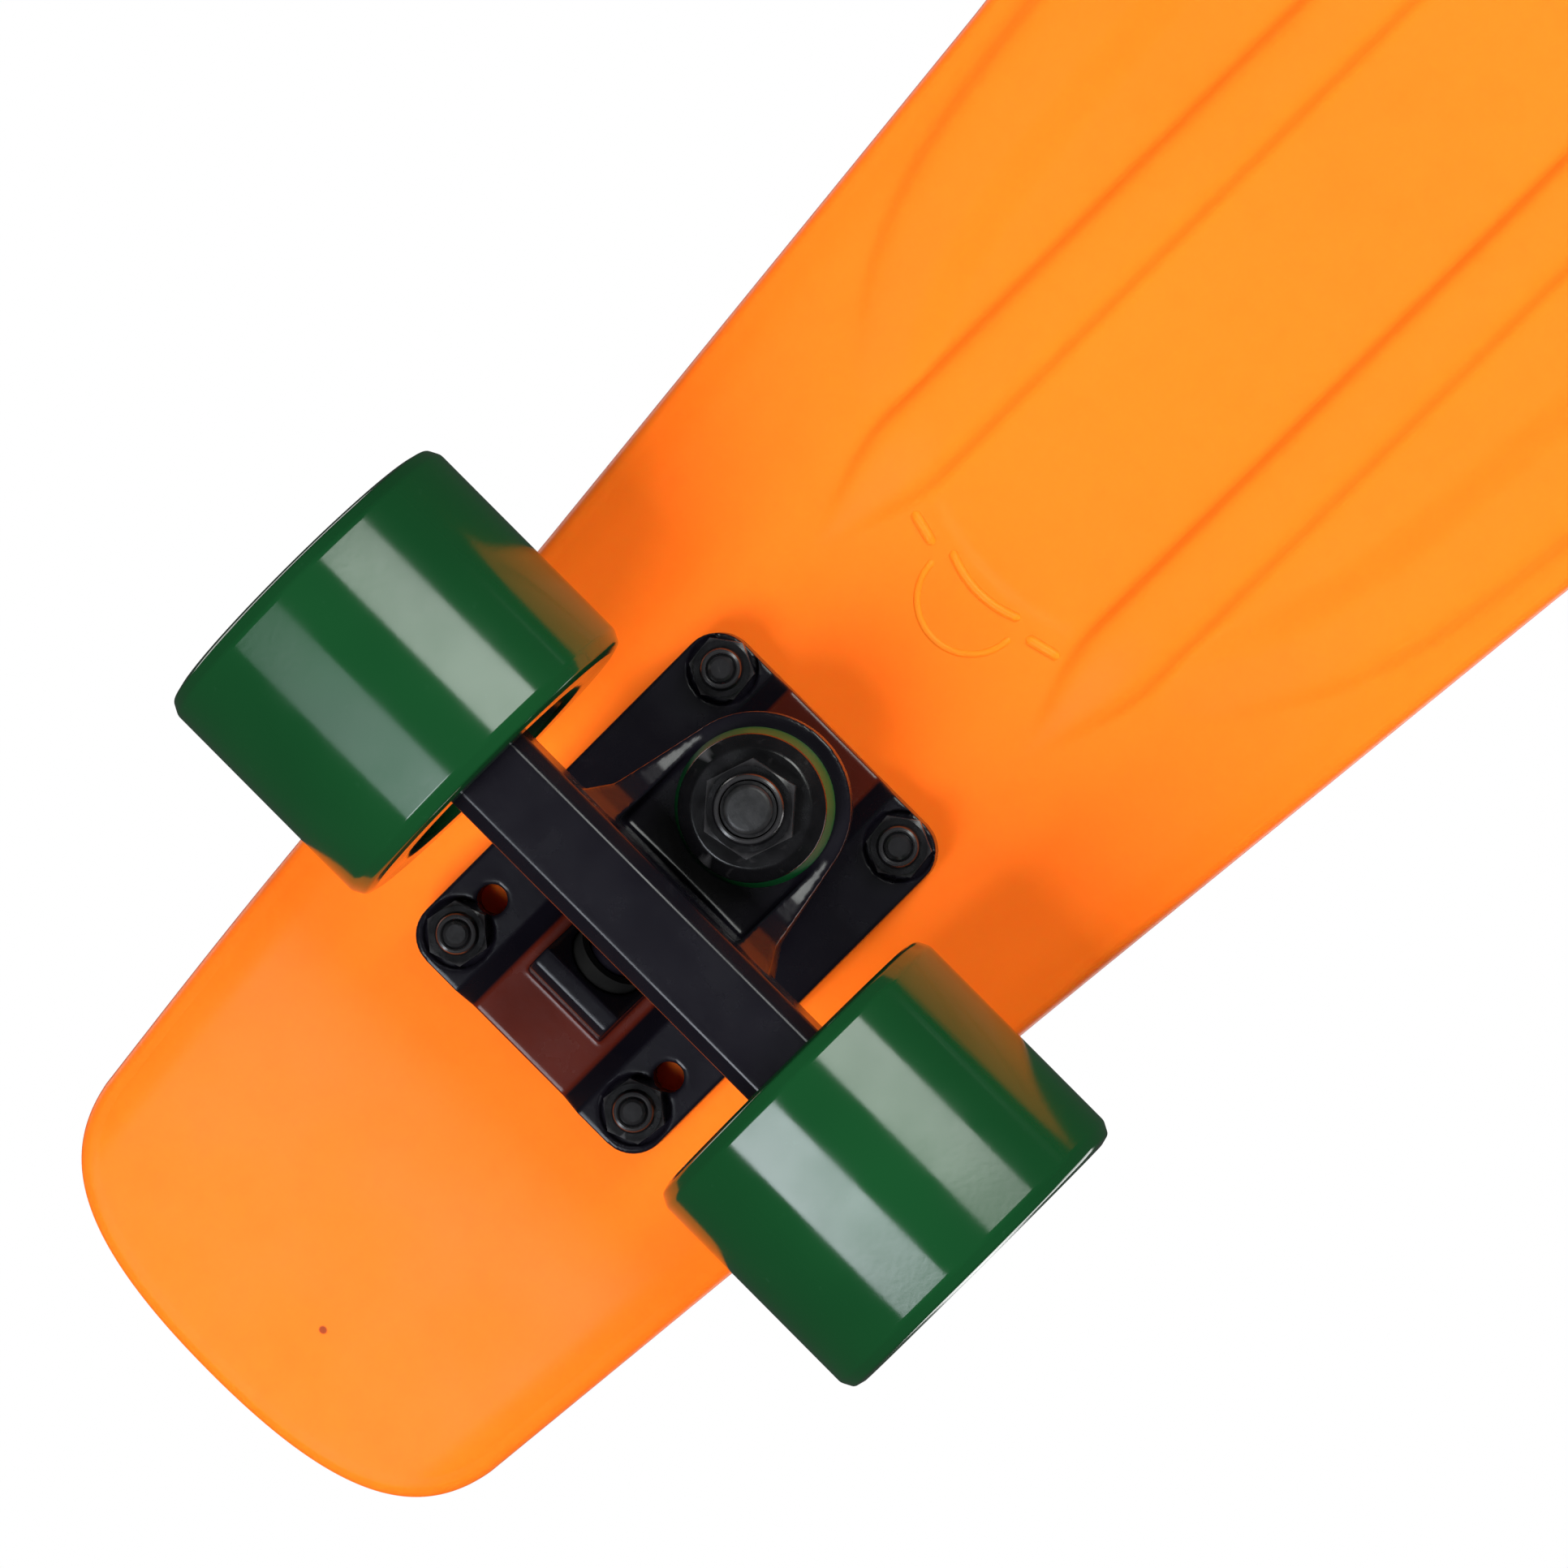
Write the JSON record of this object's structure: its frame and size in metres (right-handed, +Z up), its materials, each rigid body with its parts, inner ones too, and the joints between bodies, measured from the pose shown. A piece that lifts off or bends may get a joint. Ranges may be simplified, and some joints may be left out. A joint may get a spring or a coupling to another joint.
{
  "type": "skateboard",
  "caption": "Small moulded plastic cruiser skateboard with a kicked tail, sprung steering trucks and soft wide wheels, standing on its wheels.",
  "frame": {"origin": "on the floor under the middle of the board's length and width", "axes": "+X along the board towards the nose, +Y to the rider's left, +Z up"},
  "size_m": [0.57, 0.1572, 0.0986],
  "materials": {
    "deck_plastic": "moulded orange plastic, satin, slightly pebbled",
    "wheel_urethane": "cast green urethane, glossy",
    "bushing_urethane": "cast green urethane, satin",
    "truck_casting": "black powder coat on cast aluminium, semi-gloss",
    "black_hardware": "black oxide steel, slight shine",
    "axle_steel": "plain turned steel",
    "bearing_steel": "ground bearing steel",
    "pivot_cup": "black moulded urethane, matte"
  },
  "bodies": {
    "deck": {"deck": "deck_plastic", "rear_baseplate": "truck_casting", "rear_pivot_cup": "pivot_cup", "rear_kingpin": "black_hardware", "rear_boardside_washer": "black_hardware", "rear_boardside_bushing": "bushing_urethane", "rear_roadside_bushing": "bushing_urethane", "rear_roadside_washer": "black_hardware", "rear_kingpin_nut": "black_hardware", "rear_outer_left_mount_bolt": "black_hardware", "rear_outer_left_mount_nut": "black_hardware", "rear_outer_right_mount_bolt": "black_hardware", "rear_outer_right_mount_nut": "black_hardware", "rear_inner_left_mount_bolt": "black_hardware", "rear_inner_left_mount_nut": "black_hardware", "rear_inner_right_mount_bolt": "black_hardware", "rear_inner_right_mount_nut": "black_hardware", "front_baseplate": "truck_casting", "front_pivot_cup": "pivot_cup", "front_kingpin": "black_hardware", "front_boardside_washer": "black_hardware", "front_boardside_bushing": "bushing_urethane", "front_roadside_bushing": "bushing_urethane", "front_roadside_washer": "black_hardware", "front_kingpin_nut": "black_hardware", "front_outer_left_mount_bolt": "black_hardware", "front_outer_left_mount_nut": "black_hardware", "front_outer_right_mount_bolt": "black_hardware", "front_outer_right_mount_nut": "black_hardware", "front_inner_left_mount_bolt": "black_hardware", "front_inner_left_mount_nut": "black_hardware", "front_inner_right_mount_bolt": "black_hardware", "front_inner_right_mount_nut": "black_hardware"},
    "rear_left_wheel": {"rear_left_wheel": "wheel_urethane", "rear_left_inner_bearing": "bearing_steel", "rear_left_outer_bearing": "bearing_steel"},
    "rear_right_wheel": {"rear_right_wheel": "wheel_urethane", "rear_right_inner_bearing": "bearing_steel", "rear_right_outer_bearing": "bearing_steel"},
    "rear_hanger": {"rear_hanger": "truck_casting", "rear_axle": "axle_steel", "rear_left_bearing_spacer": "bearing_steel", "rear_left_axle_nut": "black_hardware", "rear_right_bearing_spacer": "bearing_steel", "rear_right_axle_nut": "black_hardware"},
    "front_left_wheel": {"front_left_wheel": "wheel_urethane", "front_left_inner_bearing": "bearing_steel", "front_left_outer_bearing": "bearing_steel"},
    "front_right_wheel": {"front_right_wheel": "wheel_urethane", "front_right_inner_bearing": "bearing_steel", "front_right_outer_bearing": "bearing_steel"},
    "front_hanger": {"front_hanger": "truck_casting", "front_axle": "axle_steel", "front_left_bearing_spacer": "bearing_steel", "front_left_axle_nut": "black_hardware", "front_right_bearing_spacer": "bearing_steel", "front_right_axle_nut": "black_hardware"}
  },
  "joints": [
    {"name": "rear_steer", "type": "hinge", "parent": "deck", "child": "rear_hanger", "pos_m": [-0.149, 0, 0.04625], "axis": [0.9201, 0, -0.3917], "range_deg": [-11, 11], "stiffness_Nm_per_rad": 30, "deforming": ["rear_boardside_bushing", "rear_roadside_bushing"]},
    {"name": "front_steer", "type": "hinge", "parent": "deck", "child": "front_hanger", "pos_m": [0.185, 0, 0.04625], "axis": [-0.9201, 0, -0.3917], "range_deg": [-11, 11], "stiffness_Nm_per_rad": 30, "deforming": ["front_boardside_bushing", "front_roadside_bushing"]},
    {"name": "rear_left_spin", "type": "hinge", "parent": "rear_hanger", "child": "rear_left_wheel", "pos_m": [-0.174, 0.0561, 0.03], "axis": [0, 1, 0], "continuous": true},
    {"name": "rear_right_spin", "type": "hinge", "parent": "rear_hanger", "child": "rear_right_wheel", "pos_m": [-0.174, -0.0561, 0.03], "axis": [0, 1, 0], "continuous": true},
    {"name": "front_left_spin", "type": "hinge", "parent": "front_hanger", "child": "front_left_wheel", "pos_m": [0.21, 0.0561, 0.03], "axis": [0, 1, 0], "continuous": true},
    {"name": "front_right_spin", "type": "hinge", "parent": "front_hanger", "child": "front_right_wheel", "pos_m": [0.21, -0.0561, 0.03], "axis": [0, 1, 0], "continuous": true}
  ]
}
